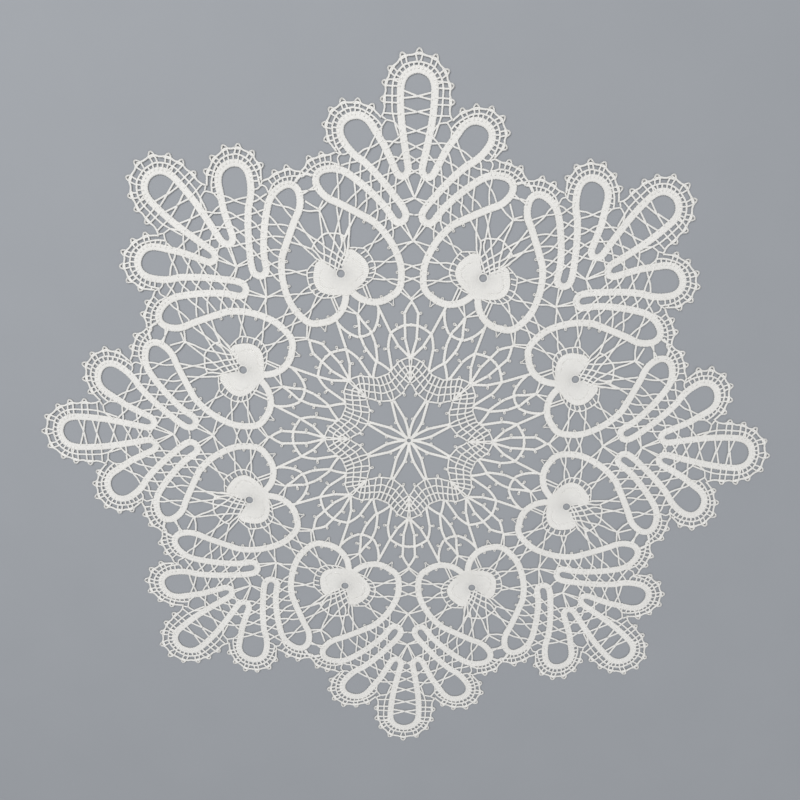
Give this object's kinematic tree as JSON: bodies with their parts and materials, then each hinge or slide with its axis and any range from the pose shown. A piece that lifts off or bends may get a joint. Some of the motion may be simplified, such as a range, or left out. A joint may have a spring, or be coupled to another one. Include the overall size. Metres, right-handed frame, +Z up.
{
  "type": "round bobbin lace tablecloth",
  "caption": "Round openwork table cloth of bobbin tape lace: looped tape petals and hearts round a small netted star, joined by thin bars, with a picot edge.",
  "frame": {"origin": "centre of the cloth's bounding box in the plane of its underside", "axes": "+Z up out of the cloth's right side, +Y towards the petal group at the top of the picture, +X to the right of it"},
  "size_m": [0.4246, 0.4164, 0.0012],
  "materials": {
    "lace": "matt off-white linen thread"
  },
  "bodies": {
    "root": {"lace": "lace"}
  },
  "joints": []
}
